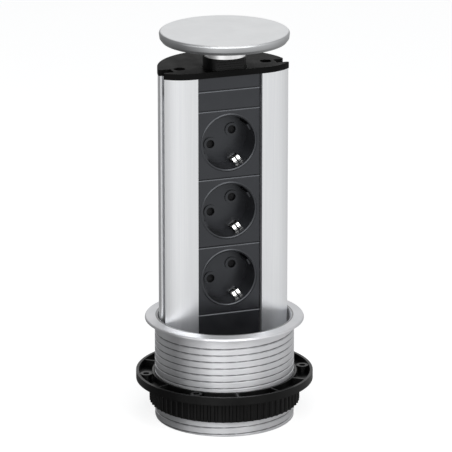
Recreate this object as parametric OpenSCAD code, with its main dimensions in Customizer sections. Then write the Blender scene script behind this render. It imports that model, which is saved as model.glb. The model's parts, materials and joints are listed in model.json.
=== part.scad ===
// Pop up desk socket: a D shaped tower of three earthed outlets that slides up out of a
// threaded collar, held in a round worktop cut-out by a clamp ring and its nut.
// The origin is the centre of the collar's lower rim, +Z is up and the outlets face -Y.
// Plan outlines are drawn with +y towards the front and then mirrored.

/* [Collar] */
// Radius of the bore that the tower slides in
bore_r = 48.75; // [46:0.25:52]
// Wall of the collar out to the thread crests
collar_wall = 2.35; // [2.2:0.05:4]
// Height of the collar
collar_h = 77.4; // [70:0.2:100]
// Reach of the flange past the thread crests
flange_reach = 7.2; // [5:0.1:12]
// Height of the flange above the worktop
flange_h = 2.2; // [1.6:0.1:4]
// Length of one thread turn
thread_pitch = 5; // [4:0.5:7]
// Depth of the thread groove
thread_depth = 0.9; // [0.6:0.1:1.1]
// Width of the thread groove at the crests
thread_groove_w = 1.4; // [1.2:0.1:2]

/* [Clamp] */
// Outer radius of the clamp ring
clamp_r = 65; // [62:0.5:75]
// Height of the clamp ring
clamp_h = 5.9; // [5:0.1:10]
// Top of the clamp ring above the collar's lower rim, as pictured
clamp_top = 34.8; // [30:0.2:50]
// Thickness of the clamp ring's floor
clamp_floor = 1.2; // [1:0.1:2]
// Thickness of the clamp ring's radial ribs
clamp_rib_t = 1.3; // [1:0.1:2.5]
// Radius of the circle that the clamp ring's screw bosses stand on
boss_circle_r = 58.2; // [57.5:0.1:59.5]
// Radius of a screw boss
boss_r = 4.4; // [3.6:0.1:5]
// Radius of the hole through a screw boss
boss_hole_r = 2.35; // [1.6:0.05:2.6]
// Radius of the clamp nut over its grip ribs
nut_r = 55.3; // [54.8:0.1:60]
// Height of the clamp nut
nut_h = 16.6; // [12:0.2:24]
// Number of grip ribs round the clamp nut
nut_ribs = 64; // [48:1:72]
// Radius of one grip rib
nut_rib_r = 1.5; // [1.2:0.1:1.8]
// Thinnest worktop that the clamp closes on
worktop_min = 8; // [4:1:20]

/* [Tower] */
// Clear width between the two front profiles
strip_w = 48.6; // [47:0.2:50]
// Distance of the outlet face in front of the tower's axis
strip_face = 9.5; // [8:0.25:11]
// How far the front profiles stand proud of the outlet face
wing_proud = 3; // [2.5:0.1:4]
// Radius of the curved face of a front profile
wing_curve_r = 30.7; // [26:0.1:40]
// Wall of the aluminium profiles
profile_wall = 2; // [1.4:0.1:2.4]
// Width of the guide slot at each side
slot_w = 8.6; // [6:0.1:9]
// Depth of the guide slot at each side
slot_depth = 8.5; // [7.5:0.1:10]
// Height of the tower's underside above the collar's lower rim
tower_z0 = 8; // [5:0.5:12]
// Thickness of the bottom cap
bottom_cap_t = 4; // [3:0.5:6]
// Height of the top cap
cap_h = 4.5; // [4:0.1:7]
// Overhang of the top cap past the profiles
cap_over = 0.35; // [0.1:0.05:0.4]
// Height of the long blank cover above the outlets
blank_h = 14.9; // [10:0.1:30]
// Height of the filler strip under the top cap
filler_h = 10.6; // [10:0.1:20]

/* [Outlets] */
// Height of one outlet module
socket_pitch = 51; // [50.4:0.1:56]
// Height of the lowest outlet module above the collar
socket_clear = 4.1; // [1:0.1:10]
// Radius of the round plug recess
recess_r = 19.75; // [19:0.05:20]
// Depth of the plug recess
recess_depth = 17.5; // [16.5:0.25:18]
// Wall round the plug recess
recess_wall = 2; // [1.6:0.1:2.1]
// Height of the raised ring round the plug recess
rim_h = 0.6; // [0.3:0.1:1.2]
// Distance between the two pin holes
pin_spacing = 19; // [18.6:0.1:19.4]
// Radius of a pin hole
pin_hole_r = 3.1; // [2.8:0.05:3.3]
// Angle that the pin holes are turned from level
pin_angle = 30; // [15:1:45]
// Thickness of a strip module's front plate
plate_t = 2.5; // [2:0.1:3]

/* [Lid] */
// Gap between the lid's edge and the collar's bore
lid_gap = 1.75; // [1:0.25:4]
// Thickness of the lid
lid_h = 7.2; // [6:0.1:9]
// Height of the ribbed neck that shows above the top cap
neck_h = 8.9; // [7:0.1:14]
// Height of the polished sleeve between neck and lid
sleeve_h = 10.4; // [8:0.1:16]
// Radius of the neck
neck_r = 15.8; // [14:0.1:16]
// How far the flat of the neck lies in front of the tower's axis
neck_flat = 11.8; // [9:0.1:12]
// How far the lid can be pressed down
lid_travel = 2.4; // [1.5:0.1:2.6]

/* [Hidden] */

fine = 96;
small = 32;
eps = 0.01;
run_gap = 0.3;
fit_gap = 0.05;
seat_gap = 0.1;

// Collar and thread
crest_r = bore_r + collar_wall;
flange_r = crest_r + flange_reach;
flange_z = collar_h - flange_h;
flange_edge = 0.3;
flange_drop = 0.6;
flange_round = min(1.3, flange_h - flange_drop - flange_edge);
round_z = flange_z + flange_edge;
collar_chamfer = 0.5;
lip_w = 2;
lip_drop = 0.15;
lip_round = 0.8;
lip_chamfer = 0.25;
thread_phase = -110.5;
thread_steps = 36;
thread_over = 0.3;
thread_root_w = 0.1;
thread_band = 8.5;
thread_top = flange_z - thread_band;
thread_down = ceil(thread_top / thread_pitch);
thread_start = thread_top - thread_down * thread_pitch;
thread_turns = thread_down + 0.6;

// Clamp ring and nut
clamp_bore_r = crest_r + 0.5;
clamp_inner_wall = 1.5;
clamp_rim = 2;
clamp_z0 = clamp_top - clamp_h;
clamp_spokes = 12;
clamp_turn = 19;
boss_angles = [-101, -41, 79, 139];
boss_drop = 0.3;
rib_drop = 0.5;
web_drop = 1.6;
rib_start_r = clamp_bore_r + clamp_inner_wall / 2;
rib_end_r = clamp_r - clamp_rim / 2;
boss_web_w = 5;
nut_z1 = clamp_z0 - run_gap;
nut_z0 = nut_z1 - nut_h;
nut_bore_r = crest_r + 0.35;
ridge_gap = 0.4;
ridge_root = 0.4;
ridge_w = 1.5;
ridge_tip_w = 0.2;
nut_ridge_turns = floor((nut_h - 2 * ridge_w) / thread_pitch);
nut_core_r = nut_r - 1.1;
nut_rib_inset = 0.25;
clamp_up = flange_z - worktop_min - clamp_top;
clamp_down = nut_z0 - 2;

// Plan of the tower
tower_r = bore_r - 0.75;
strip_half = strip_w / 2;
wing_front = strip_face + wing_proud;
wing_apex = strip_half + 2.7;
slot_front = 3.3;
slot_rear = slot_front - slot_w;
slot_floor = tower_r - slot_depth;
slot_round = 2;
ledge_front = slot_front + profile_wall;
channel_r = 4.2;
channel_in = 6.5;
channel_x = slot_floor - channel_in;
channel_y = slot_rear + 1.8;
web_half = 2.9;
channel_hole_r = 2.1;
wing_bevel = 0.3;
wing_bevel_h = 1.1;

// Heights of the tower
profile_z0 = tower_z0 + bottom_cap_t;
first_z = collar_h + socket_clear;
socket_count = 3;
blank_z = first_z + socket_count * socket_pitch;
filler_z = blank_z + blank_h;
profile_z1 = filler_z + filler_h;
cap_z1 = profile_z1 + cap_h;
sleeve_z0 = cap_z1 + neck_h;
lid_z0 = sleeve_z0 + sleeve_h;
lid_z1 = lid_z0 + lid_h;
lid_proud_down = 0.6;
tower_travel = lid_z1 - collar_h - lid_proud_down;

// Strip modules
module_gap = 0.3;
module_w = strip_w - 2 * module_gap;
skirt_t = 1.6;
plate_bevel = 0.7;
plate_drop = 0.3;
skirt_d = strip_face - ledge_front;
recess_up = 1;
recess_floor = 2;
cup_r = recess_r + recess_wall;
rim_slope = min(0.4, rim_h);
rim_top_w = 0.2;
mouth_in = 0.25;
mouth_drop = 0.6;
rim_side = (recess_wall - mouth_in - rim_top_w) / 2;
rim_z = rim_h - rim_slope;
ledge_gap = 0.55;
cup_depth = recess_depth + recess_floor;
pin_x = pin_spacing / 2;
pin_collar_r = 4.9;
pin_collar_h = 1;
guide_w = 4.4;
guide_in = 1.5;
guide_drop = 3;
guide_root = 0.5;
clip_slot_w = 6.6;
clip_slot_in = 2.2;
stud_x = 16.9;
stud_y = 20.2;
stud_r = 2.4;
stud_hole_r = 1.25;
stud_back = 9.5;
stud_head_h = 1.5;
stud_screw_end = 3;
stud_play = 0.15;
housing_post_r = stud_r + 0.2;
housing_w = strip_w - 2 * run_gap;
housing_h = socket_pitch - 1;
housing_wall = 1.8;
housing_front = strip_face - slot_front;
housing_back = 33.5;
pivot_r = 1.5;
pivot_l = 5;
shutter_gap = 0.3;
shutter_t = 2;
shutter_r = 13.2;
shutter_half = 3.4;
shutter_hub_r = 4.2;
coil_wire_r = 0.3;
coil_r = 2.5;
coil_turns = 3;
coil_play = 0.2;
contact_z = -22.7;
contact_r = 3.7;
contact_bore_r = 2.6;
contact_bore_l = 6;
contact_foot = 4;
contact_slit = 0.8;
well_r = contact_r + 1.4;
tail_r = 1;
clip_t = 0.8;
clip_r = recess_r - 0.35;
clip_w = 5.5;
clip_base_z = -25.6;
clip_reach = 3.3;
clip_tip = 0.2;
clip_slit = 1.2;
clip_heel_z = -14;
clip_knee_z = -9.1;
clip_lip_z = -7.5;
clip_tip_z = -6.3;
clip_bend = 1.03;
clip_bend_drop = 0.26;
clip_lip_drop = 0.42;
bar_w = 5;
bar_t = 1.2;
bar_x = pin_x * cos(pin_angle);
bar_end = 2;
bar_z1 = blank_z - bar_end;
bar_y = housing_back - strip_face;

// Inlet end
block_w = 36;
block_d = 18;
block_h = 24;
block_front = 10;
block_y = bar_y - block_front;
bar_in = 10;
bar_z0 = profile_z0 + block_h - bar_in;
clamp_screw_y = 5;
clamp_screw_r = 1.5;
clamp_screw_l = 11;
clamp_screw_head_r = 2.6;
inlet_r = 5.5;
inlet_bore_r = 4;
inlet_flange = 1;
inlet_flange_t = 1.2;
inlet_y = block_y + block_d + inlet_r + inlet_flange + run_gap;

// Guide keys, stops and caps
key_gap = 0.7;
key_h = 17.7;
key_z0 = profile_z0 + run_gap;
key_pin_r = 2;
key_pin_l = 1.2;
key_pocket = 2;
pocket_end = 1.5;
pocket_side = 1.2;
key_leaf_t = 0.4;
stop_h = 6;
stop_z0 = key_z0 + key_h + tower_travel + run_gap;
stop_out = 3;
spigot_h = 8;
spigot_gap = 0.3;
ring_r = tower_r - profile_wall - spigot_gap;
ring_t = 2;
ring_gap = 1;
spigot_in = 4;
screw_head_r = 4.1;
screw_head_h = 1.8;
screw_sink = 2.6;
screw_l = 15;
cross_l = 4;
cross_w = 0.8;
cross_d = 1;

// Lid, neck and spring
lid_r = bore_r - lid_gap;
lid_top_t = 2;
lid_rim_t = 2.4;
lid_edge_r = 1.8;
lid_taper = 2;
lid_foot_h = 2.2;
lid_draft = 0.4;
carrier_stem_r = 6;
carrier_drop = 0.3;
carrier_r = lid_r - lid_rim_t - seat_gap;
sleeve_r = neck_r + 0.35;
sleeve_wall = 1.5;
cap_floor_t = 1;
neck_z0 = cap_z1 - 0.8;
well_z0 = profile_z1 + cap_floor_t;
rib_pitch = 1.7;
rib_cut = 0.5;
spring_pocket_r = 9.5;
spring_r = 7;
spring_wire_r = 0.5;
spring_turns = 4;
neck_top_t = 2;
stem_r = 3.5;
stem_z0 = profile_z1 - run_gap;
washer_r = 6.5;
washer_t = 1;
lid_screw_r = 1.8;
lid_screw_end = 3;

alu = [0.80, 0.80, 0.82];
black = [0.08, 0.08, 0.09];
anthracite = [0.24, 0.24, 0.26];
nickel = [0.85, 0.84, 0.80];
brass = [0.80, 0.66, 0.34];
copper = [0.78, 0.46, 0.32];
steel = [0.62, 0.62, 0.64];
grey_plastic = [0.62, 0.62, 0.60];

// Plan outlines

module plan(z0, h) translate([0, 0, z0]) mirror([0, 1, 0]) linear_extrude(h) children();

module both() {
    children();
    mirror([1, 0, 0]) children();
}

module box2(x0, y0, x1, y1) translate([x0, y0]) square([x1 - x0, y1 - y0]);

// What is cut off to round the corner that a disc of radius disc_r has at its straight edge at edge_y
module corner_cut(disc_r, edge_y, round_r) {
    round_y = edge_y + round_r;
    round_x = sqrt(pow(disc_r - round_r, 2) - pow(round_y, 2));
    difference() {
        polygon([[round_x, round_y], [2 * round_x, 2 * round_y], [2 * round_x, 0], [round_x, 0]]);
        translate([round_x, round_y]) circle(round_r, $fn = small);
    }
}

// The same at both edges of the guide slot at each side
module slot_corners(disc_r) both() {
    corner_cut(disc_r, slot_front, slot_round);
    mirror([0, 1, 0]) corner_cut(disc_r, -slot_rear, slot_round);
}

// One front profile's outline, shrunk by inset on every side, with its slot edge rounded
module wing_outline(inset) difference() {
    intersection() {
        translate([wing_apex, wing_front - wing_curve_r]) circle(wing_curve_r - inset, $fn = fine);
        circle(tower_r - inset, $fn = fine);
        box2(strip_half + inset, slot_front + inset, tower_r, wing_front + 1);
    }
    corner_cut(tower_r - inset, slot_front + inset, slot_round - inset / 2);
}

// Outline of both caps, past the profiles by grow
module tower_outline(grow) {
    intersection() {
        circle(tower_r + grow, $fn = fine);
        union() {
            box2(-tower_r - 1, -tower_r - 1, tower_r + 1, slot_front + eps);
            both() intersection() {
                translate([wing_apex, wing_front - wing_curve_r])
                    circle(wing_curve_r + grow, $fn = fine);
                box2(wing_apex - eps, slot_front, tower_r + 1, wing_front + grow + 1);
            }
            box2(-wing_apex, slot_front, wing_apex, wing_front + grow);
        }
    }
}

module slot_outline() both() box2(slot_floor, slot_rear, tower_r + 2, slot_front);

module at_channels(z) both() translate([channel_x, -channel_y, z]) children();

// Collar

// Helical wedge with its thin edge inwards, that rises to the right seen from outside
function wedge(i, tip_r, tip_w, out_r, out_w, z0) =
    let (a = thread_phase + i * 360 / thread_steps, z = z0 + i * thread_pitch / thread_steps)
    [[tip_r * cos(a), tip_r * sin(a), z + tip_w / 2], [tip_r * cos(a), tip_r * sin(a), z - tip_w / 2],
     [out_r * cos(a), out_r * sin(a), z - out_w / 2], [out_r * cos(a), out_r * sin(a), z + out_w / 2]];

module helix(tip_r, tip_w, out_r, out_w, z0, turns) {
    count = round(turns * thread_steps);
    points = [for (i = [0:count]) each wedge(i, tip_r, tip_w, out_r, out_w, z0)];
    walls = [for (i = [0:count - 1]) for (s = [0:3])
        let (t = (s + 1) % 4, b = 4 * i) each [[b + s, b + t, b + t + 4], [b + s, b + t + 4, b + s + 4]]];
    last = 4 * count;
    polyhedron(points, concat([[2, 1, 0], [3, 2, 0]], walls,
        [[last, last + 1, last + 2], [last, last + 2, last + 3]]));
}

// Section of the collar, with the flange's top falling a little to its round edge
module collar_profile() {
    polygon([[bore_r, 0], [crest_r - collar_chamfer, 0], [crest_r, collar_chamfer], [crest_r, flange_z],
        [flange_r, flange_z], [flange_r, round_z], [flange_r - flange_round, round_z],
        [flange_r - flange_round, round_z + flange_round],
        [bore_r + lip_w, collar_h - lip_drop], [bore_r + lip_round, collar_h],
        [bore_r + lip_chamfer, collar_h - lip_chamfer], [bore_r, collar_h - lip_round]]);
    intersection() {
        translate([flange_r - flange_round, round_z]) circle(flange_round, $fn = small);
        box2(bore_r, flange_z, flange_r + 1, collar_h);
    }
}

module collar() color(alu) difference() {
    rotate_extrude($fn = fine) collar_profile();
    helix(crest_r - thread_depth, thread_root_w, crest_r + thread_over,
        thread_root_w + (thread_groove_w - thread_root_w) * (thread_depth + thread_over) / thread_depth,
        thread_start, thread_turns);
    both() translate([0, -(slot_rear + slot_front) / 2, key_z0 + key_h / 2])
        rotate([0, 90, 0]) cylinder(h = bore_r + key_pin_l + fit_gap, r = key_pin_r + fit_gap, $fn = small);
}

module guide_keys() color(black) both() {
    difference() {
        intersection() {
            plan(key_z0, key_h)
                box2(slot_floor + key_gap, slot_rear + run_gap, bore_r, slot_front - run_gap);
            translate([0, 0, key_z0]) cylinder(h = key_h, r = bore_r - seat_gap, $fn = fine);
        }
        plan(key_z0 + pocket_end, key_h - 2 * pocket_end)
            box2(slot_floor, slot_rear + pocket_side, slot_floor + key_gap + key_pocket,
                slot_front - pocket_side);
    }
    translate([bore_r - 1, -(slot_rear + slot_front) / 2, key_z0 + key_h / 2])
        rotate([0, 90, 0]) cylinder(h = key_pin_l + 1, r = key_pin_r, $fn = small);
}

// A bowed leaf in each key's pocket, which presses on the floor of the guide slot
module brake_springs() {
    leaf_half = key_h / 2 - pocket_end - run_gap;
    leaf_sag = key_pocket - key_leaf_t;
    leaf_bow = (pow(leaf_half, 2) + pow(leaf_sag, 2)) / (2 * leaf_sag);
    color(steel) both() translate([slot_floor + run_gap + key_leaf_t, 0, key_z0 + key_h / 2])
        rotate([90, 0, 0]) translate([0, 0, slot_rear + pocket_side + run_gap])
        linear_extrude(slot_w - 2 * (pocket_side + run_gap))
        intersection() {
            translate([leaf_bow - key_leaf_t, 0]) difference() {
                circle(leaf_bow, $fn = fine);
                circle(leaf_bow - key_leaf_t, $fn = fine);
            }
            box2(-key_leaf_t - eps, -leaf_half, leaf_sag + key_leaf_t, leaf_half);
        }
}

// Clamp ring and nut

module ring(z0, h, r_in, r_out) translate([0, 0, z0]) difference() {
    cylinder(h = h, r = r_out, $fn = fine);
    translate([0, 0, -1]) cylinder(h = h + 2, r = r_in, $fn = fine);
}

module at_boss() for (a = boss_angles) rotate([0, 0, a]) translate([0, -boss_circle_r, 0]) children();

module clamp_ring() color(black) difference() {
    union() {
        ring(clamp_z0, clamp_floor, clamp_bore_r, clamp_r);
        ring(clamp_z0, clamp_h, clamp_r - clamp_rim, clamp_r);
        ring(clamp_z0, clamp_h - rib_drop, clamp_bore_r, clamp_bore_r + clamp_inner_wall);
        for (i = [0:clamp_spokes - 1]) rotate([0, 0, clamp_turn + i * 360 / clamp_spokes])
            translate([-clamp_rib_t / 2, -rib_end_r, clamp_z0])
                cube([clamp_rib_t, rib_end_r - rib_start_r, clamp_h - rib_drop]);
        at_boss() translate([0, 0, clamp_z0])
            cylinder(h = clamp_h - boss_drop, r = boss_r, $fn = small);
        for (a = boss_angles) rotate([0, 0, a])
            translate([-boss_web_w / 2, -rib_end_r, clamp_z0])
                cube([boss_web_w, rib_end_r - rib_start_r, clamp_h - web_drop]);
    }
    at_boss() translate([0, 0, clamp_z0 - 1]) cylinder(h = clamp_h + 2, r = boss_hole_r, $fn = small);
}

module clamp_nut() color(black) {
    difference() {
        union() {
            translate([0, 0, nut_z0]) cylinder(h = nut_h, r = nut_core_r, $fn = fine);
            for (i = [0:nut_ribs - 1]) rotate([0, 0, (i + 0.25) * 360 / nut_ribs])
                translate([0, nut_r - nut_rib_r, nut_z0 + nut_rib_inset])
                    cylinder(h = nut_h - 2 * nut_rib_inset, r = nut_rib_r, $fn = 16);
        }
        translate([0, 0, nut_z0 - 1]) cylinder(h = nut_h + 2, r = nut_bore_r, $fn = fine);
    }
    helix(crest_r - thread_depth + ridge_gap, ridge_tip_w, nut_bore_r + ridge_root, ridge_w,
        thread_start + thread_pitch * ceil((nut_z0 + ridge_w - thread_start) / thread_pitch),
        nut_ridge_turns);
}

// Aluminium profiles and caps

module rear_shell() intersection() {
    difference() {
        circle(tower_r, $fn = fine);
        circle(tower_r - profile_wall, $fn = fine);
    }
    box2(-tower_r, -tower_r, tower_r, slot_rear);
}

// Walls of one guide slot, with the channel that a cap screw goes into
module slot_walls() intersection() {
    circle(tower_r, $fn = fine);
    union() {
        box2(slot_floor - profile_wall, slot_rear - profile_wall, tower_r, slot_rear);
        box2(slot_floor - profile_wall, slot_rear - profile_wall, slot_floor, slot_front);
        box2(channel_x - channel_r, slot_front - profile_wall, slot_floor, slot_front);
        difference() {
            union() {
                translate([channel_x, channel_y]) circle(channel_r, $fn = small);
                box2(channel_x - web_half, channel_y - web_half,
                    slot_floor - profile_wall / 2, slot_front - profile_wall / 2);
            }
            translate([channel_x, channel_y]) circle(channel_hole_r, $fn = small);
        }
    }
}

module rear_section() difference() {
    union() {
        rear_shell();
        both() slot_walls();
    }
    slot_corners(tower_r);
}

module rear_profile() color(alu) plan(profile_z0, profile_z1 - profile_z0) rear_section();

module front_section() {
    difference() {
        wing_outline(0);
        wing_outline(profile_wall);
        polygon([[strip_half - 1, wing_front + 1], [strip_half - 1, wing_front - wing_bevel_h],
            [strip_half, wing_front - wing_bevel_h], [strip_half + wing_bevel, wing_front],
            [strip_half + wing_bevel, wing_front + 1]]);
    }
    box2(cup_r + ledge_gap, slot_front, strip_half + profile_wall, ledge_front);
}

module front_profile_right() color(alu) plan(profile_z0, profile_z1 - profile_z0) front_section();

module front_profile_left() mirror([1, 0, 0]) front_profile_right();

// Plug that locates a cap in the hollows of the profiles
module cap_spigots(z0) {
    plan(z0, spigot_h) both() intersection() {
        wing_outline(profile_wall + spigot_gap);
        box2(strip_half + profile_wall + spigot_in, 0, tower_r, wing_front);
    }
    intersection() {
        ring(z0 + spigot_h / 2, spigot_h / 2, ring_r - ring_t, ring_r);
        plan(z0, spigot_h) box2(-tower_r, -tower_r, tower_r, slot_rear - profile_wall - ring_gap);
    }
}

// Round post with a flat front, that keeps the lid from turning
module neck_outline(gap) intersection() {
    circle(neck_r + gap, $fn = fine);
    box2(-neck_r - 1, -neck_r - 1, neck_r + 1, neck_flat + gap);
}

module top_cap() color(black) {
    difference() {
        plan(profile_z1, cap_h) difference() {
            tower_outline(cap_over);
            slot_outline();
            slot_corners(tower_r + cap_over);
        }
        plan(well_z0, cap_h) neck_outline(run_gap);
        translate([0, 0, profile_z1 - 1]) cylinder(h = cap_h, r = stem_r + run_gap, $fn = small);
        at_channels(cap_z1 - screw_sink) {
            translate([0, 0, -cap_h]) cylinder(h = 2 * cap_h, r = channel_hole_r, $fn = small);
            translate([0, 0, -screw_head_h])
                cylinder(h = screw_head_h + screw_sink + 1, r = screw_head_r + seat_gap, $fn = small);
        }
    }
    cap_spigots(profile_z1 - spigot_h);
}

module bottom_cap() color(black) difference() {
    union() {
        plan(tower_z0, bottom_cap_t) tower_outline(0);
        translate([0, 0, profile_z0 + spigot_h]) mirror([0, 0, 1]) cap_spigots(0);
    }
    translate([0, inlet_y, tower_z0 - 1]) cylinder(h = bottom_cap_t + 2, r = inlet_r, $fn = small);
    translate([0, inlet_y, profile_z0])
        cylinder(h = spigot_h, r = inlet_r + inlet_flange + run_gap, $fn = small);
    at_channels(tower_z0 - 1) {
        cylinder(h = bottom_cap_t + 2, r = channel_hole_r, $fn = small);
        cylinder(h = screw_head_h + 1, r = screw_head_r + seat_gap, $fn = small);
    }
}

// Screw with a cross in its head, which stands from z 0 up to head_h, and its shank below
module screw(head_r, head_h, shank_r, shank_l) {
    difference() {
        cylinder(h = head_h, r = head_r, $fn = small);
        for (a = [0, 90]) rotate([0, 0, a])
            translate([-cross_l / 2, -cross_w / 2, head_h - cross_d]) cube([cross_l, cross_w, 2 * cross_d]);
    }
    translate([0, 0, -shank_l]) cylinder(h = shank_l + eps, r = shank_r, $fn = small);
}

module cap_screws() color(steel) at_channels(cap_z1 - screw_sink - screw_head_h)
    screw(screw_head_r, screw_head_h, channel_hole_r - seat_gap, screw_l);

module bottom_screws() color(steel) at_channels(tower_z0 + screw_head_h) mirror([0, 0, 1])
    screw(screw_head_r, screw_head_h, channel_hole_r - seat_gap, screw_l);

module travel_stops() color(black) both()
    plan(stop_z0, stop_h) box2(slot_floor, slot_rear, slot_floor + stop_out, slot_front);

// Strip modules

// Outer section of a strip module that is w wide, with its two front edges bevelled
module plate_section(w) polygon([[-w / 2, -skirt_d], [w / 2, -skirt_d], [w / 2, -plate_drop],
    [w / 2 - plate_bevel, 0], [-w / 2 + plate_bevel, 0], [-w / 2, -plate_drop]]);

// A front plate with a skirt behind its edges, drawn lying down with its face at z 0.
// The skirt runs along both sides, and also along the ends where end_t is its thickness there
module strip_plate(h, end_t) difference() {
    intersection() {
        rotate([90, 0, 90]) translate([0, 0, -module_w / 2]) linear_extrude(module_w) plate_section(h);
        rotate([90, 0, 0]) translate([0, 0, -h / 2]) linear_extrude(h) plate_section(module_w);
    }
    translate([-module_w / 2 + skirt_t, -h / 2 + end_t, -skirt_d - 1])
        cube([module_w - 2 * skirt_t, h - 2 * end_t, skirt_d - plate_t + 1]);
}

module on_face(z) translate([0, -strip_face, z]) rotate([90, 0, 0]) children();

module blank(z0, h) color(anthracite) on_face(z0 + h / 2) strip_plate(h - module_gap, -1);

module top_filler() blank(filler_z, filler_h);
module blank_cover_top() blank(blank_z, blank_h);
module blank_cover_bottom() blank(profile_z0, first_z - profile_z0);

// Frame of outlet k: the origin is the recess centre on the outlet face, z points out of it
module at_socket(k) on_face(first_z + (k - 0.5) * socket_pitch + recess_up) children();

module at_pins() for (a = [pin_angle, pin_angle + 180])
    rotate([0, 0, a]) translate([pin_x, 0, 0]) children();

module at_clips() for (a = [pin_angle - 90, pin_angle + 90]) rotate([0, 0, a]) children();

module at_studs() for (x = [-stud_x, stud_x]) for (y = [-stud_y, stud_y])
    translate([x, y - recess_up, 0]) children();

module post(z0, z1, r) translate([0, 0, z0]) cylinder(h = z1 - z0, r = r, $fn = small);

module socket_insert(k) color(anthracite) at_socket(k) {
    difference() {
        union() {
            translate([0, -recess_up, 0]) strip_plate(socket_pitch - module_gap, skirt_t);
            translate([0, 0, -cup_depth]) cylinder(h = cup_depth, r = cup_r, $fn = fine);
            translate([0, 0, -eps]) cylinder(h = rim_z + eps, r = cup_r, $fn = fine);
            translate([0, 0, rim_z])
                cylinder(h = rim_slope, r1 = cup_r, r2 = cup_r - rim_side, $fn = fine);
            at_studs() post(-stud_back, -1, stud_r);
        }
        translate([0, 0, -recess_depth]) cylinder(h = recess_depth + 2, r = recess_r, $fn = fine);
        translate([0, 0, rim_z - mouth_drop])
            cylinder(h = mouth_drop, r1 = recess_r, r2 = recess_r + mouth_in, $fn = fine);
        translate([0, 0, rim_z]) cylinder(h = 2 * rim_slope,
            r1 = recess_r + mouth_in, r2 = recess_r + mouth_in + 2 * rim_side, $fn = fine);
        at_pins() post(-cup_depth - 1, 0, pin_hole_r);
        at_clips() translate([recess_r - clip_slot_in, -clip_slot_w / 2, -cup_depth - 1])
            cube([clip_slot_in, clip_slot_w, recess_floor + 2]);
        at_studs() post(-stud_back - 1, -plate_t - 1, stud_hole_r);
    }
    at_pins() difference() {
        post(-recess_depth - eps, -recess_depth + pin_collar_h, pin_collar_r);
        post(-recess_depth - 1, 0, pin_hole_r);
    }
    for (a = [pin_angle, pin_angle + 180]) rotate([0, 0, a])
        translate([recess_r - guide_in, -guide_w / 2, -recess_depth - eps])
            cube([guide_in + guide_root, guide_w, recess_depth - guide_drop]);
    post(-cup_depth - pivot_l, -cup_depth + eps, pivot_r);
}

module housing_body() translate([-housing_w / 2, -housing_h / 2 - recess_up, -housing_back])
    difference() {
        cube([housing_w, housing_h, housing_back - housing_front]);
        translate([housing_wall, housing_wall, housing_wall])
            cube([housing_w - 2 * housing_wall, housing_h - 2 * housing_wall, housing_back]);
    }

module socket_housing(k) color(grey_plastic) at_socket(k) difference() {
    union() {
        housing_body();
        at_studs() post(-housing_back + 1, -stud_back - run_gap, housing_post_r);
        at_pins() post(-housing_back + 1, contact_z - contact_foot, well_r);
    }
    at_studs() post(-housing_back - 1, 0, stud_hole_r + stud_play);
    at_studs() post(-housing_back - 1, -housing_back + stud_head_h + seat_gap, stud_r + seat_gap);
    post(-cup_depth - run_gap, 0, cup_r + run_gap);
    at_pins() post(-housing_back + housing_wall, 0, contact_r + seat_gap);
    at_pins() post(-housing_back - 1, 0, tail_r + seat_gap);
    post(-housing_back - 1, 0, tail_r + seat_gap);
}

module module_screws() color(steel) for (k = [1:socket_count]) at_socket(k) at_studs() {
    post(-housing_back, -housing_back + stud_head_h, stud_r);
    post(-housing_back, -plate_t - stud_screw_end, stud_hole_r - fit_gap);
}

module line_contacts(k) color(brass) at_socket(k) at_pins() difference() {
    union() {
        post(-housing_back + housing_wall, contact_z, contact_r);
        post(-housing_back - bar_t, contact_z - contact_foot, tail_r);
    }
    post(contact_z - contact_bore_l, contact_z + 1, contact_bore_r);
    translate([-contact_slit / 2, -contact_r - 1, contact_z - contact_bore_l])
        cube([contact_slit, 2 * contact_r + 2, contact_bore_l + 1]);
}

// Half of the earth strip: radius and height of the arm, with its bump into the recess
module clip_half() polygon([[-eps, clip_base_z], [clip_r, clip_base_z], [clip_r, clip_heel_z],
    [clip_r - clip_reach + clip_bend, clip_knee_z - clip_bend_drop],
    [clip_r - clip_tip, clip_lip_z - clip_lip_drop],
    [clip_r - clip_tip, clip_tip_z], [clip_r - clip_tip - clip_t, clip_tip_z],
    [clip_r - clip_tip - clip_t, clip_lip_z], [clip_r - clip_reach, clip_knee_z],
    [clip_r - clip_t, clip_heel_z], [clip_r - clip_t, clip_base_z + clip_t], [-eps, clip_base_z + clip_t]]);

module earth_contact(k) color(nickel) at_socket(k) {
    at_clips() rotate([90, 0, 0]) difference() {
        translate([0, 0, -clip_w / 2]) linear_extrude(clip_w) clip_half();
        translate([clip_r - clip_reach - 1, clip_heel_z, -clip_slit / 2])
            cube([clip_reach + 2, clip_tip_z - clip_heel_z + 1, clip_slit]);
    }
    post(-housing_back - bar_t, clip_base_z + clip_t / 2, tail_r);
}

module shutter(k) color(grey_plastic) at_socket(k) translate([0, 0, -cup_depth - shutter_gap - shutter_t])
    linear_extrude(shutter_t) difference() {
        union() {
            circle(shutter_hub_r, $fn = small);
            rotate(pin_angle) intersection() {
                circle(shutter_r, $fn = fine);
                box2(-shutter_r, -shutter_half, shutter_r, shutter_half);
            }
        }
        circle(pivot_r + fit_gap, $fn = small);
    }

// Round wire that winds up from z0 to z1
module coil(z0, z1, r, wire_r, turns, steps) {
    sides = 6;
    count = turns * steps;
    rise = (z1 - z0 - 2 * wire_r) / count;
    points = [for (i = [0:count]) let (a = i * 360 / steps, z = z0 + wire_r + rise * i)
        for (s = [0:sides - 1]) let (b = s * 360 / sides, q = r + wire_r * cos(b))
            [q * cos(a), q * sin(a), z + wire_r * sin(b)]];
    walls = [for (i = [0:count - 1]) for (s = [0:sides - 1])
        let (t = (s + 1) % sides, b = i * sides)
            each [[b + s, b + t + sides, b + t], [b + s, b + s + sides, b + t + sides]]];
    last = count * sides;
    polyhedron(points, concat([[for (s = [0:sides - 1]) s]], walls,
        [[for (s = [sides - 1:-1:0]) last + s]]));
}

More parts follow.
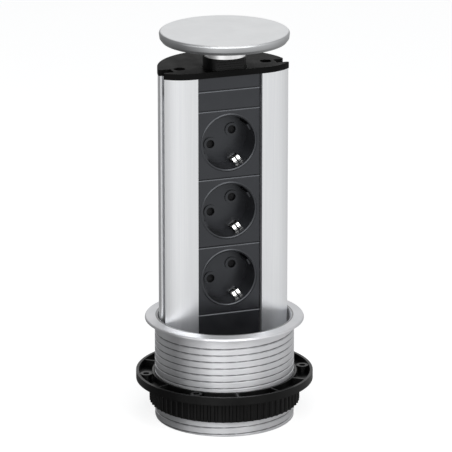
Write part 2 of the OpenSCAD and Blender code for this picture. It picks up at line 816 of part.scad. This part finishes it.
module shutter_springs() color(steel) for (k = [1:socket_count]) at_socket(k)
    coil(-cup_depth - pivot_l + seat_gap, -cup_depth - shutter_gap - shutter_t - coil_play,
        coil_r, coil_wire_r, coil_turns, 12);

// Conductors and the inlet end

module bar(x, metal) color(metal) difference() {
    plan(bar_z0, bar_z1 - bar_z0) box2(x - bar_w / 2, -bar_y - bar_t, x + bar_w / 2, -bar_y);
    for (k = [1:socket_count]) at_socket(k) {
        at_pins() post(-housing_back - bar_t - 1, 0, tail_r + fit_gap);
        post(-housing_back - bar_t - 1, 0, tail_r + fit_gap);
    }
}

module live_bar() bar(bar_x, copper);
module neutral_bar() bar(-bar_x, copper);
module earth_bar() bar(0, copper);

module terminal_block() color(grey_plastic) difference() {
    plan(profile_z0, block_h) box2(-block_w / 2, -block_y - block_d, block_w / 2, -block_y);
    for (x = [-bar_x, 0, bar_x]) {
        plan(bar_z0 - 1, block_h) box2(x - bar_w / 2 - seat_gap, -bar_y - bar_t - seat_gap,
            x + bar_w / 2 + seat_gap, -bar_y + seat_gap);
        translate([x, block_y + clamp_screw_y, profile_z0 + block_h - clamp_screw_l - run_gap])
            cylinder(h = block_h, r = clamp_screw_r + seat_gap, $fn = small);
    }
}

module terminal_screws() color(steel) for (x = [-bar_x, 0, bar_x])
    translate([x, block_y + clamp_screw_y, profile_z0 + block_h])
        screw(clamp_screw_head_r, screw_head_h, clamp_screw_r, clamp_screw_l);

module inlet_bush() color(black) translate([0, inlet_y, 0]) difference() {
    union() {
        for (z = [tower_z0 - inlet_flange_t, profile_z0]) translate([0, 0, z])
            cylinder(h = inlet_flange_t, r = inlet_r + inlet_flange, $fn = small);
        translate([0, 0, tower_z0 - eps])
            cylinder(h = bottom_cap_t + 2 * eps, r = inlet_r - fit_gap, $fn = small);
    }
    translate([0, 0, tower_z0 - 2 * inlet_flange_t])
        cylinder(h = bottom_cap_t + 4 * inlet_flange_t, r = inlet_bore_r, $fn = small);
}

// Lid

module lid() color(alu) difference() {
    rotate_extrude($fn = fine) {
        difference() {
            union() {
                translate([0, lid_z0]) polygon([[0, 0], [lid_r - lid_taper, 0],
                    [lid_r - lid_draft, lid_foot_h], [lid_r, lid_h - lid_edge_r],
                    [0, lid_h - lid_edge_r]]);
                translate([0, lid_z1 - 2 * lid_edge_r]) square([lid_r - lid_edge_r, 2 * lid_edge_r]);
                translate([lid_r - lid_edge_r, lid_z1 - lid_edge_r]) circle(lid_edge_r, $fn = small);
            }
            translate([-2 * lid_r, lid_z0 - 1]) square([2 * lid_r, lid_h + 2]);
        }
    }
    translate([0, 0, lid_z0 - 1]) cylinder(h = lid_h - lid_top_t + 1, r = lid_r - lid_rim_t, $fn = fine);
}

module lid_carrier() color(black) difference() {
    union() {
        translate([0, 0, lid_z0 + carrier_drop])
            cylinder(h = lid_h - lid_top_t - carrier_drop, r = carrier_r, $fn = fine);
        translate([0, 0, sleeve_z0]) cylinder(h = sleeve_h + 1, r = carrier_stem_r, $fn = small);
    }
    translate([0, 0, sleeve_z0 - 1]) cylinder(h = sleeve_h, r = lid_screw_r + fit_gap, $fn = small);
}

module lid_sleeve() color(nickel)
    ring(sleeve_z0, sleeve_h + carrier_drop, sleeve_r - sleeve_wall, sleeve_r);

module neck() color(black) difference() {
    union() {
        difference() {
            plan(neck_z0, sleeve_z0 - neck_z0) neck_outline(0);
            translate([0, 0, neck_z0 - 1])
                cylinder(h = sleeve_z0 - neck_z0 - neck_top_t + 1, r = spring_pocket_r, $fn = fine);
            for (z = [cap_z1 + rib_pitch / 2:rib_pitch:sleeve_z0 - rib_pitch / 2])
                plan(z, rib_pitch / 2) box2(-neck_r, neck_flat - rib_cut, neck_r, neck_flat + 1);
        }
        translate([0, 0, stem_z0]) cylinder(h = sleeve_z0 - stem_z0 - 1, r = stem_r, $fn = small);
    }
    translate([0, 0, stem_z0 - 1])
        cylinder(h = sleeve_z0 - stem_z0 + 2, r = lid_screw_r + fit_gap, $fn = small);
}

module lid_spring() color(steel)
    coil(well_z0, sleeve_z0 - neck_top_t, spring_r, spring_wire_r, spring_turns, 24);

module retaining_washer() color(steel)
    ring(stem_z0 - washer_t, washer_t, lid_screw_r + seat_gap, washer_r);

module lid_screw() color(steel) translate([0, 0, stem_z0 - washer_t]) mirror([0, 0, 1])
    screw(screw_head_r, screw_head_h, lid_screw_r, lid_z0 - stem_z0 + washer_t - lid_screw_end);

collar();
guide_keys();
brake_springs();
clamp_ring();
clamp_nut();
rear_profile();
front_profile_left();
front_profile_right();
top_cap();
bottom_cap();
top_filler();
blank_cover_top();
blank_cover_bottom();
socket_insert(1);  // socket_insert_1
socket_insert(2);  // socket_insert_2
socket_insert(3);  // socket_insert_3
socket_housing(1);  // socket_housing_1
socket_housing(2);  // socket_housing_2
socket_housing(3);  // socket_housing_3
line_contacts(1);  // line_contacts_1
line_contacts(2);  // line_contacts_2
line_contacts(3);  // line_contacts_3
earth_contact(1);  // earth_contact_1
earth_contact(2);  // earth_contact_2
earth_contact(3);  // earth_contact_3
shutter(1);  // shutter_1
shutter(2);  // shutter_2
shutter(3);  // shutter_3
shutter_springs();
live_bar();
neutral_bar();
earth_bar();
terminal_block();
terminal_screws();
inlet_bush();
cap_screws();
bottom_screws();
module_screws();
travel_stops();
lid();
lid_carrier();
lid_sleeve();
neck();
lid_spring();
retaining_washer();
lid_screw();
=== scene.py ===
"""Looks of the pop up desk socket: finishes, the lid's spring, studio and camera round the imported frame."""
import json
import math

import bpy
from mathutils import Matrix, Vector


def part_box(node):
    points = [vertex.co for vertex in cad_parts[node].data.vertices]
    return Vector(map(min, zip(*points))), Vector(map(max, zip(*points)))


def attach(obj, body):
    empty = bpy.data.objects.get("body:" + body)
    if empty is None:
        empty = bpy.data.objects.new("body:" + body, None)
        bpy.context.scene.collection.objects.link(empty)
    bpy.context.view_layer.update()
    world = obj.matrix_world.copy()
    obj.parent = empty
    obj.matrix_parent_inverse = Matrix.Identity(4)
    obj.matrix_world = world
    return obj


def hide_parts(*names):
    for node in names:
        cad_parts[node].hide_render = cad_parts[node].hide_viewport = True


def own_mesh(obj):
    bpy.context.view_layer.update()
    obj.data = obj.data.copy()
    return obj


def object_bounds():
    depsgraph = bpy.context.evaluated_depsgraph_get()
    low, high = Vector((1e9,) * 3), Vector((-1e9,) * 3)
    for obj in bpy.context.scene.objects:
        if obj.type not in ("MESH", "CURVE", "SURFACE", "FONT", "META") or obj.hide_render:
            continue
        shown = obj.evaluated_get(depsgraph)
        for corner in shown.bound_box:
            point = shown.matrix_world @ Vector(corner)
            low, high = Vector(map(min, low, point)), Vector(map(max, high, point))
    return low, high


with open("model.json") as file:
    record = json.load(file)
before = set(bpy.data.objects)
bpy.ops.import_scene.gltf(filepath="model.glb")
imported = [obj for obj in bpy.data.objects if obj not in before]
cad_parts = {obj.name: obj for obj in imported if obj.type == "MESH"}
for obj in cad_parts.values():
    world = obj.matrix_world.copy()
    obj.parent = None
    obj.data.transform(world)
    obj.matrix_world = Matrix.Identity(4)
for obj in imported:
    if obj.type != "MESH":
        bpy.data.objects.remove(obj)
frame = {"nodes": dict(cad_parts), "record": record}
cad_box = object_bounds()

# Sizes of the object in metres
LID_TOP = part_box("lid")[1].z
COLLAR_BORE = 0.04875
THREAD_CREST = 0.0511
THREAD_DEPTH = 0.0009
THREAD_ROOT = THREAD_CREST - THREAD_DEPTH

# Depths below the lid's top: its face's finish is whole above the first and gone below the second,
# and the rim's painted shade is least above the third and deepest below the fourth
FACE_WHOLE = 0.0001
FACE_GONE = 0.0005
RIM_LIGHTEST = 0.0010
RIM_DARKEST = 0.0055

# Camera, as the photograph shows the object
VIEW_AZIMUTH = -20.5
VIEW_ELEVATION = 17.0
CAMERA_DISTANCE = 2.8
NEAREST_SEEN = 0.1
FARTHEST_SEEN = 50
IMAGE_SIZE = 452
SENSOR = 36.0
PIXELS_PER_METRE = 1375
AXIS_PIXEL_X = 224.4
MIDDLE_PIXEL_Y = 224.6

# Brightness that metal and gloss mirror from each side of the studio, by azimuth in degrees:
# white panels in front and at the right, dark gaps beside them, a narrow white sweep behind
FULL_TURN = 360
PANORAMA = [
    (-180, 0.50), (-162, 0.24), (-127, 0.34), (-103, 0.20), (-82, 0.30), (-66, 0.48), (-46, 1.05),
    (-28, 1.08), (-12, 0.90), (12, 0.82), (24, 0.92), (40, 0.86), (61, 0.96), (86, 0.74), (112, 0.62),
    (139, 0.58), (150, 0.85), (169, 0.85), (180, 0.50),
]

WHITE = (1.0, 1.0, 1.0, 1.0)

# Light that comes from all sides
STUDIO_TINT = (0.96, 0.98, 1.0, 1.0)
STUDIO_LIGHT = 0.45

# Floor: half its width in metres and the grey with which it lights the object
FLOOR_HALF = 4.0
FLOOR_GREY = (0.75, 0.75, 0.75, 1.0)

# Floor as the camera sees it: a glow, and a grey on which the shadow falls
FLOOR_GLOW = 0.75
SHADOW_GREY = (0.40, 0.40, 0.40, 1.0)

# Floor as metal mirrors it: painted shade near the object's foot, where it gives only a share of the
# panorama, all of it farther out
FOOT_NEAR = 0.10
FOOT_FAR = 0.30
FOOT_SHARE = 0.35

# Values of a noise that span() spreads over the whole range, and the noise's roughness
NOISE_LOW = 0.3
NOISE_HIGH = 0.7
NOISE_ROUGHNESS = 0.55

# Places of a Mix node's inputs and outputs, which share their names: two numbers, then two colours
NUMBER_A = 2
NUMBER_B = 3
NUMBER_RESULT = 0
COLOR_A = 6
COLOR_B = 7
COLOR_RESULT = 2

# Turns an anisotropic gloss from level to upright
QUARTER_TURN = 0.25


def direction(azimuth, elevation):
    """Unit vector from the object towards that side."""
    a, e = math.radians(azimuth), math.radians(elevation)
    return Vector((math.sin(a) * math.cos(e), -math.cos(a) * math.cos(e), math.sin(e)))


def aimed(obj, place, target):
    """The object put into the scene at a place and turned towards the target."""
    obj.location = place
    obj.rotation_mode = "QUATERNION"
    obj.rotation_quaternion = (target - place).to_track_quat("-Z", "Y")
    bpy.context.scene.collection.objects.link(obj)
    return obj


def make_camera():
    """Camera whose frame holds the object where the photograph has it."""
    data = bpy.data.cameras.new("camera")
    data.sensor_width = SENSOR
    data.lens = PIXELS_PER_METRE * CAMERA_DISTANCE * SENSOR / IMAGE_SIZE
    data.clip_start = NEAREST_SEEN
    data.clip_end = FARTHEST_SEEN
    back = direction(VIEW_AZIMUTH, VIEW_ELEVATION)
    turn = math.radians(VIEW_AZIMUTH)
    right = Vector((math.cos(turn), math.sin(turn), 0))
    up = back.cross(right)
    low, high = cad_box
    middle = Vector((0, 0, (low.z + high.z) / 2))
    target = middle + right * (IMAGE_SIZE / 2 - AXIS_PIXEL_X) / PIXELS_PER_METRE
    target += up * (MIDDLE_PIXEL_Y - IMAGE_SIZE / 2) / PIXELS_PER_METRE
    camera = aimed(bpy.data.objects.new("camera", data), target + back * CAMERA_DISTANCE, target)
    bpy.context.scene.camera = camera


# Node helpers

class Graph:
    """Short way to add and join shader nodes."""

    def __init__(self, tree):
        self.tree = tree
        tree.nodes.clear()

    def add(self, kind, inputs=None, **settings):
        """New node; an input is a value, or the output socket that it is joined to."""
        node = self.tree.nodes.new(kind)
        for name, value in settings.items():
            setattr(node, name, value)
        for name, value in (inputs or {}).items():
            if isinstance(value, bpy.types.NodeSocket):
                self.tree.links.new(value, node.inputs[name])
            else:
                node.inputs[name].default_value = value
        return node

    def math(self, operation, a, b):
        return self.add("ShaderNodeMath", {0: a, 1: b}, operation=operation).outputs[0]

    def ranged(self, value, from_low, from_high, to_low=0.0, to_high=1.0, **settings):
        """Value carried from one range to another and held inside it."""
        return self.add("ShaderNodeMapRange", {
            "Value": value, "From Min": from_low, "From Max": from_high,
            "To Min": to_low, "To Max": to_high}, **settings).outputs["Result"]

    def number_between(self, factor, a, b):
        node = self.add("ShaderNodeMix", {"Factor": factor, NUMBER_A: a, NUMBER_B: b})
        return node.outputs[NUMBER_RESULT]

    def color_between(self, factor, a, b, **settings):
        inputs = {"Factor": factor, COLOR_A: a, COLOR_B: b}
        return self.add("ShaderNodeMix", inputs, data_type="RGBA", **settings).outputs[COLOR_RESULT]

    def ramp(self, factor, stops):
        """stops are (place, grey) pairs."""
        node = self.add("ShaderNodeValToRGB", {"Fac": factor})
        elements = node.color_ramp.elements
        while len(elements) < len(stops):
            elements.new(0.5)
        for element, (place, grey) in zip(elements, stops):
            element.position = place
            element.color = (grey, grey, grey, 1)
        return node.outputs["Color"]

    def around(self, vector):
        """Brightness of the panorama at this direction or place seen from the tower's axis.
        Azimuth 0 is in the middle of the ramp."""
        parts = self.add("ShaderNodeSeparateXYZ", {"Vector": vector})
        front = self.math("MULTIPLY", parts.outputs["Y"], -1.0)
        turn = self.math("DIVIDE", self.math("ARCTAN2", parts.outputs["X"], front), 2 * math.pi)
        stops = [(azimuth / FULL_TURN + 0.5, grey) for azimuth, grey in PANORAMA]
        return self.ramp(self.math("ADD", turn, 0.5), stops)

    def own_place(self):
        """Point in the object's own coordinates."""
        return self.add("ShaderNodeTexCoord").outputs["Object"]

    def noise(self, scale, detail, stretch=(1, 1, 1)):
        """Noise in the object's own coordinates, at scale features per metre."""
        mapped = self.add("ShaderNodeMapping", {"Vector": self.own_place(), "Scale": stretch})
        return self.add("ShaderNodeTexNoise", {
            "Vector": mapped.outputs["Vector"], "Scale": scale, "Detail": detail,
            "Roughness": NOISE_ROUGHNESS}).outputs["Fac"]

    def span(self, value, low, high):
        """Noise value spread to low..high."""
        return self.ranged(value, NOISE_LOW, NOISE_HIGH, low, high)

    def tint(self, value, dark, light):
        """Colour that a noise moves between dark and light."""
        return self.color_between(self.span(value, 0, 1), (*dark, 1), (*light, 1))

    def dimmed(self, color, share):
        """Colour multiplied by a grey share."""
        return self.color_between(1.0, color, share, blend_type="MULTIPLY")

    def bump(self, height, distance, strength):
        return self.add("ShaderNodeBump", {
            "Height": height, "Distance": distance, "Strength": strength}).outputs["Normal"]

    def along(self):
        """Level direction round the tower's axis, for lines left by drawing or turning."""
        return self.add("ShaderNodeTangent", direction_type="RADIAL", axis="Z").outputs["Tangent"]

    def level(self, low, high):
        """0 below the height low and 1 above high."""
        height = self.add("ShaderNodeSeparateXYZ", {"Vector": self.own_place()}).outputs["Z"]
        return self.ranged(height, low, high)

    def radius(self):
        """Distance from the tower's axis."""
        flat = self.add("ShaderNodeVectorMath", {0: self.own_place(), 1: (1, 1, 0)}, operation="MULTIPLY")
        away = self.add("ShaderNodeVectorMath", {0: flat.outputs["Vector"]}, operation="LENGTH")
        return away.outputs["Value"]

    def finish(self, **inputs):
        """Principled shader with these inputs, joined to the material's output."""
        named = {name.replace("_", " "): value for name, value in inputs.items()}
        shader = self.add("ShaderNodeBsdfPrincipled", named)
        self.surface("ShaderNodeOutputMaterial", shader)

    def surface(self, kind, shader):
        """Output node of the material or the world, fed by this shader."""
        self.add(kind, {"Surface": shader.outputs[0]})


def material(name):
    made = bpy.data.materials.new(name)
    made.use_nodes = True
    return made, Graph(made.node_tree)


# Finishes

def grey(value):
    return (value, value, value)


def drawn_aluminium():
    """Satin anodised extrusion with faint lines along its length."""
    made, g = material("drawn_aluminium")
    lines = g.noise(scale=900, detail=3, stretch=(1, 1, 0.012))
    grain = g.noise(scale=2600, detail=2)
    height = g.math("ADD", lines, g.math("MULTIPLY", grain, 0.5))
    g.finish(Base_Color=g.tint(lines, dark=(0.78, 0.79, 0.81), light=(0.83, 0.84, 0.85)), Metallic=1.0,
             Roughness=g.span(grain, low=0.36, high=0.42),
             Normal=g.bump(height, distance=0.00001, strength=0.5),
             Anisotropic=0.5, Tangent=g.along())
    return made


def collar_silver():
    """Turned metal: fine marks round it spread gloss up and down, and painted shade darkens the thread's
    grooves.
    """
    made, g = material("collar_silver")
    cloud = g.noise(scale=60, detail=2)
    marks = g.noise(scale=700, detail=3, stretch=(0.03, 0.03, 1))
    # Painted shade: outside the bore, the base colour falls to 0.35 of the silver in the thread's grooves
    outside = g.ranged(g.radius(), COLLAR_BORE, THREAD_ROOT - THREAD_DEPTH / 4)
    groove_painted_shade = g.ranged(g.radius(), THREAD_ROOT, THREAD_CREST - THREAD_DEPTH / 3, to_low=0.35)
    share = g.number_between(outside, 1.0, groove_painted_shade)
    silver = g.tint(cloud, dark=(0.74, 0.75, 0.77), light=(0.80, 0.80, 0.82))
    g.finish(Base_Color=g.dimmed(silver, share), Metallic=1.0,
             Roughness=g.span(marks, low=0.42, high=0.50),
             Normal=g.bump(marks, distance=0.00003, strength=0.6),
             Anisotropic=0.7, Anisotropic_Rotation=QUARTER_TURN, Tangent=g.along())
    return made


def lid_aluminium():
    """Fine blasted top and a smoother rim, whose colour is a darker copy of the top's with painted shade,
    deepest at its lower edge.
    """
    made, g = material("lid_aluminium")
    cloud = g.noise(scale=60, detail=2)
    grain = g.noise(scale=2200, detail=3)
    top = g.level(LID_TOP - FACE_GONE, LID_TOP - FACE_WHOLE)
    # Painted shade: the rim's base is a darker copy of the face's aluminium and falls to 60 % of it towards
    # the rim's lower edge
    rim_shade_height = g.level(LID_TOP - RIM_DARKEST, LID_TOP - RIM_LIGHTEST)
    rim_painted_shade = g.ranged(rim_shade_height, 0.0, 1.0, to_low=0.60)
    rim = g.dimmed(g.tint(cloud, dark=(0.48, 0.49, 0.50), light=(0.52, 0.53, 0.54)), rim_painted_shade)
    face = g.tint(cloud, dark=(0.80, 0.81, 0.82), light=(0.84, 0.85, 0.86))
    top_roughness = g.math("MULTIPLY", top, 0.04)
    g.finish(Base_Color=g.color_between(top, rim, face), Metallic=1.0,
             Roughness=g.math("ADD", top_roughness, g.span(grain, low=0.38, high=0.44)),
             Normal=g.bump(grain, distance=0.00002, strength=0.6))
    return made


def moulded_plastic(name, dark, light, rough, grain_depth=0.00002, gloss=0.3, gloss_tint=WHITE, upright=0.0):
    """Moulded plastic with a fine grain and a slightly uneven gloss, which upright spreads up and down."""
    made, g = material(name)
    cloud = g.noise(scale=90, detail=3)
    grain = g.noise(scale=1800, detail=3)
    g.finish(Base_Color=g.tint(cloud, dark, light),
             Roughness=g.span(cloud, low=rough - 0.05, high=rough + 0.05),
             Specular_IOR_Level=gloss, Specular_Tint=gloss_tint,
             Normal=g.bump(grain, distance=grain_depth, strength=0.6),
             Anisotropic=upright, Anisotropic_Rotation=QUARTER_TURN, Tangent=g.along())
    return made


def plain_metal(name, dark, light, rough):
    """Small metal piece with a little colour and gloss variation."""
    made, g = material(name)
    cloud = g.noise(scale=400, detail=3)
    g.finish(Base_Color=g.tint(cloud, dark, light), Metallic=1.0,
             Roughness=g.span(cloud, low=rough * 0.8, high=rough * 1.25),
             Normal=g.bump(cloud, distance=0.00002, strength=0.4))
    return made


FINISHES = {
    "profile_aluminium": drawn_aluminium(),
    "collar_silver": collar_silver(),
    "lid_aluminium": lid_aluminium(),
    "black_plastic": moulded_plastic(
        "black_plastic", dark=grey(0.003), light=grey(0.005), rough=0.48, gloss=0.05),
    "clamp_plastic": moulded_plastic(
        "clamp_plastic", dark=grey(0.001), light=grey(0.002), rough=0.33, grain_depth=0.00001,
        gloss=0.22, upright=0.85),
    "anthracite_plastic": moulded_plastic(
        "anthracite_plastic", dark=(0.004, 0.004, 0.005), light=(0.006, 0.006, 0.007), rough=0.34,
        grain_depth=0.00003, gloss=0.70, gloss_tint=(0.89, 0.93, 1.0, 1.0)),
    "grey_plastic": moulded_plastic(
        "grey_plastic", dark=(0.40, 0.40, 0.39), light=(0.46, 0.46, 0.45), rough=0.45),
    "shutter_plastic": moulded_plastic(
        "shutter_plastic", dark=(0.012, 0.012, 0.013), light=(0.018, 0.018, 0.019), rough=0.45, gloss=0.15),
    "rubber": moulded_plastic("rubber", dark=grey(0.020), light=grey(0.028), rough=0.75),
    "polished": plain_metal("polished", dark=(0.84, 0.84, 0.85), light=grey(0.88), rough=0.10),
    "nickel": plain_metal("nickel", dark=(0.90, 0.90, 0.88), light=(0.95, 0.95, 0.93), rough=0.32),
    "brass": plain_metal("brass", dark=(0.74, 0.55, 0.25), light=(0.80, 0.62, 0.30), rough=0.30),
    "copper": plain_metal("copper", dark=(0.70, 0.36, 0.24), light=(0.78, 0.44, 0.30), rough=0.35),
    "spring_steel": plain_metal(
        "spring_steel", dark=(0.52, 0.52, 0.54), light=(0.60, 0.60, 0.62), rough=0.28),
    "screw_steel": plain_metal(
        "screw_steel", dark=(0.16, 0.16, 0.17), light=(0.22, 0.22, 0.23), rough=0.35),
}


def dress_nodes():
    """Each piece of the frame gets the finish of its slot in the record."""
    for entry in frame["record"]["subparts"]:
        node = frame["nodes"][entry["node"]]
        node.data.materials.clear()
        node.data.materials.append(FINISHES[entry["material_slot"]])


def make_lid_spring():
    """Coil under the lid's neck: a copy of the frame's spring, hung on the tower in the frame's place."""
    solid = frame["nodes"]["lid_spring"]
    coil = bpy.data.objects.new("lid_spring_coil", solid.data.copy())
    bpy.context.scene.collection.objects.link(coil)
    coil.matrix_world = solid.matrix_world.copy()
    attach(coil, "tower")
    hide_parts("lid_spring")
    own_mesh(coil)


# Floor, world and lamps

def seen_rays(g):
    """Output socket that is 1 for camera rays, and one that is 1 for camera, glossy and transmission rays."""
    path = g.add("ShaderNodeLightPath")
    camera = path.outputs["Is Camera Ray"]
    seen = g.math("MAXIMUM", camera, path.outputs["Is Glossy Ray"])
    return camera, g.math("MAXIMUM", seen, path.outputs["Is Transmission Ray"])


def either(g, factor, no, yes):
    """Shader that is no where the factor is 0 and yes where it is 1."""
    return g.add("ShaderNodeMixShader", {"Fac": factor, 1: no.outputs[0], 2: yes.outputs[0]})


def make_floor():
    """White to the camera with the object's shadow; shaded near the object where metal mirrors it."""
    mesh = bpy.data.meshes.new("floor")
    corners = [(-1, -1), (1, -1), (1, 1), (-1, 1)]
    mesh.from_pydata([(FLOOR_HALF * x, FLOOR_HALF * y, 0) for x, y in corners], [], [(0, 1, 2, 3)])
    floor = bpy.data.objects.new("floor", mesh)
    bpy.context.scene.collection.objects.link(floor)
    made, g = material("floor")
    camera, seen = seen_rays(g)
    plain = g.add("ShaderNodeBsdfDiffuse", {"Color": FLOOR_GREY})
    shadowed = g.add("ShaderNodeBsdfDiffuse", {"Color": SHADOW_GREY})
    place = g.add("ShaderNodeNewGeometry").outputs["Position"]
    away = g.add("ShaderNodeVectorMath", {0: place, 1: (0, 0, 0)}, operation="DISTANCE").outputs["Value"]
    # Painted shade round the object's foot, seen only by glossy and transmission rays
    painted_foot_shade = g.ranged(away, FOOT_NEAR, FOOT_FAR, to_low=FOOT_SHARE, interpolation_type="SMOOTHSTEP")
    mirrored = g.math("MULTIPLY", painted_foot_shade, g.around(place))
    strength = g.number_between(camera, mirrored, FLOOR_GLOW)
    glow = g.add("ShaderNodeEmission", {"Color": WHITE, "Strength": strength})
    camera_white = g.add("ShaderNodeAddShader", {0: shadowed.outputs[0], 1: glow.outputs[0]})
    g.surface("ShaderNodeOutputMaterial", either(g, seen, plain, either(g, camera, glow, camera_white)))
    mesh.materials.append(made)


def make_world():
    """White for the camera, the panorama for gloss, soft grey studio light otherwise."""
    world = bpy.data.worlds.new("studio")
    bpy.context.scene.world = world
    world.use_nodes = True
    g = Graph(world.node_tree)
    camera, seen = seen_rays(g)
    heading = g.add("ShaderNodeTexCoord").outputs["Generated"]
    mirrored = g.add("ShaderNodeBackground", {"Color": WHITE, "Strength": g.around(heading)})
    white = g.add("ShaderNodeBackground", {"Color": WHITE, "Strength": 1.0})
    studio = g.add("ShaderNodeBackground", {"Color": STUDIO_TINT, "Strength": STUDIO_LIGHT})
    g.surface("ShaderNodeOutputWorld", either(g, seen, studio, either(g, camera, mirrored, white)))


def make_lamp(name, azimuth, elevation, distance, width, height, power):
    """Rectangular lamp on that side, aimed at the middle of the object; power is in watts."""
    data = bpy.data.lights.new(name, "AREA")
    data.shape = "RECTANGLE"
    data.size, data.size_y = width, height
    data.energy = power
    middle = Vector((0, 0, cad_box[1].z / 2))
    place = middle + direction(azimuth, elevation) * distance
    aimed(bpy.data.objects.new(name, data), place, middle)


bpy.context.scene.view_settings.view_transform = "Standard"
make_camera()
dress_nodes()
make_lid_spring()
make_floor()
make_world()
make_lamp("key", azimuth=-30, elevation=32, distance=1.7, width=1.0, height=1.0, power=10)
make_lamp("side", azimuth=14, elevation=32, distance=1.7, width=0.8, height=1.0, power=9)
make_lamp("fill", azimuth=-75, elevation=20, distance=1.8, width=0.7, height=1.2, power=3)
make_lamp("top", azimuth=10, elevation=80, distance=1.6, width=1.2, height=1.2, power=4)
